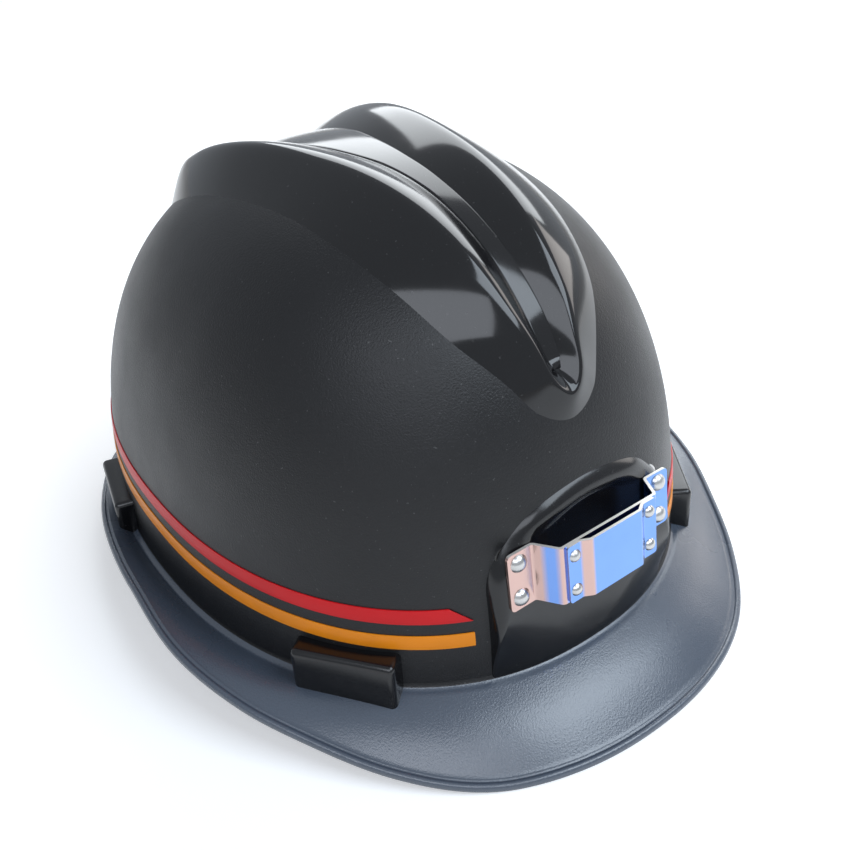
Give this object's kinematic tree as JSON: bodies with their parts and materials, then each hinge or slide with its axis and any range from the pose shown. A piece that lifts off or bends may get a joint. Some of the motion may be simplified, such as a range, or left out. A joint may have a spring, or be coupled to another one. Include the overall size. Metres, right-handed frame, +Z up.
{
  "type": "miner helmet",
  "caption": "Brimmed miner helmet with raised V ridges, a sheet-metal lamp bracket, side stripes, a cord clip and a strap harness tightened by a ratchet knob.",
  "frame": {"origin": "under the middle of the whole helmet, on the surface its brim rests on", "axes": "+Z up, +Y towards the nape, the peak towards -Y, +X towards the wearer's left"},
  "size_m": [0.2258, 0.2946, 0.1622],
  "materials": {
    "shell_plastic": "moulded black plastic, fine texture with polished raised V and lamp panel",
    "bracket_metal": "bright plated sheet steel",
    "clip_metal": "bright plated sheet steel",
    "orange_tape": "smooth reflective tape",
    "red_tape": "smooth reflective tape",
    "key_plastic": "moulded, satin",
    "webbing": "woven polyester webbing",
    "padding": "soft padded fabric",
    "gear_plastic": "moulded, satin",
    "screw_steel": "plated",
    "knob_plastic": "moulded, satin",
    "harness_plastic": "moulded, satin"
  },
  "bodies": {
    "helmet": {"shell": "shell_plastic", "bracket_base": "bracket_metal", "bracket_plate": "bracket_metal", "bracket_rivets": "bracket_metal", "plate_rivets": "bracket_metal", "bracket_washers": "bracket_metal", "cord_clip": "clip_metal", "clip_rivets": "clip_metal", "clip_washers": "clip_metal", "orange_stripe_left": "orange_tape", "orange_stripe_right": "orange_tape", "red_stripe_left": "red_tape", "red_stripe_right": "red_tape", "front_left_key": "key_plastic", "front_right_key": "key_plastic", "rear_left_key": "key_plastic", "rear_right_key": "key_plastic", "crown_strap_right": "webbing", "crown_strap_left": "webbing", "crown_pad": "padding", "headband": "harness_plastic", "sweatband": "padding", "nape_pad": "padding", "housing": "harness_plastic", "housing_cover": "harness_plastic", "click_spring": "gear_plastic"},
    "knob": {"knob": "knob_plastic", "pinion": "gear_plastic", "knob_screw": "screw_steel"},
    "left_arm": {"left_arm": "harness_plastic", "left_arm_studs": "harness_plastic"},
    "right_arm": {"right_arm": "harness_plastic", "right_arm_studs": "harness_plastic"}
  },
  "joints": [
    {"name": "knob_turn", "type": "hinge", "parent": "helmet", "child": "knob", "pos_m": [0, 0.1165, 0.016], "axis": [0, 1, 0], "range_deg": [-300, 300]},
    {"name": "left_arm_draw", "type": "hinge", "parent": "helmet", "child": "left_arm", "pos_m": [0, 0.0225, 0.016], "axis": [0, 0, 1], "range_deg": [-16.3, 16.3]},
    {"name": "right_arm_draw", "type": "hinge", "parent": "helmet", "child": "right_arm", "pos_m": [0, 0.0225, 0.016], "axis": [0, 0, 1], "range_deg": [-15.95, 15.95]}
  ],
  "couplings": [
    {"joint": "left_arm_draw", "follows": "knob_turn", "ratio": -0.054152},
    {"joint": "right_arm_draw", "follows": "knob_turn", "ratio": 0.052941}
  ]
}
